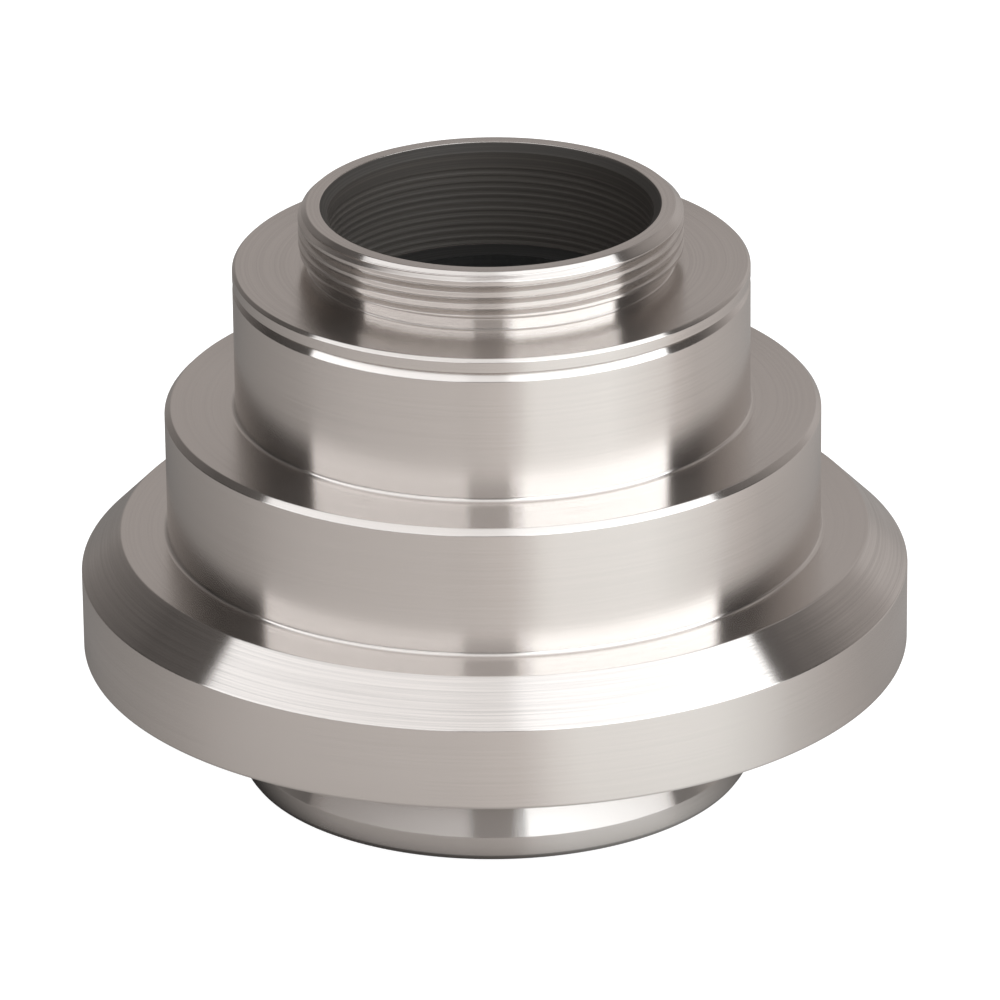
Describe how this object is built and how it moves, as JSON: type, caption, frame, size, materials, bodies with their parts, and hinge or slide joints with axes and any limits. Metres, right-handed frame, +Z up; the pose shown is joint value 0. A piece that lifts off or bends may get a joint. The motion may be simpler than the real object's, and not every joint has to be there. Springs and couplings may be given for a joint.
{
  "type": "microscope camera adapter",
  "caption": "Turned metal adapter with a dovetail foot, a coned flange, two round steps and a short camera thread, holding a reducing lens.",
  "frame": {"origin": "centre of the foot's lower face, on the optical axis", "axes": "+Z up along the optical axis, from the foot to the camera thread; X and Y are any pair across it, as every piece is turned"},
  "size_m": [0.0552, 0.0552, 0.0397],
  "materials": {
    "turned_steel": "fine turned, satin, with bright edges",
    "black_anodised": "matte black anodised",
    "crown_glass": "polished and coated",
    "flint_glass": "polished and coated"
  },
  "bodies": {
    "root": {"adapter_body": "turned_steel", "camera_ring": "turned_steel", "cell_lock_ring": "black_anodised", "lens_cell": "black_anodised", "upper_retaining_ring": "black_anodised", "upper_crown_lens": "crown_glass", "upper_flint_lens": "flint_glass", "middle_lens": "crown_glass", "lens_spacer": "black_anodised", "lower_flint_lens": "flint_glass", "lower_crown_lens": "crown_glass", "lower_retaining_ring": "black_anodised"}
  },
  "joints": []
}
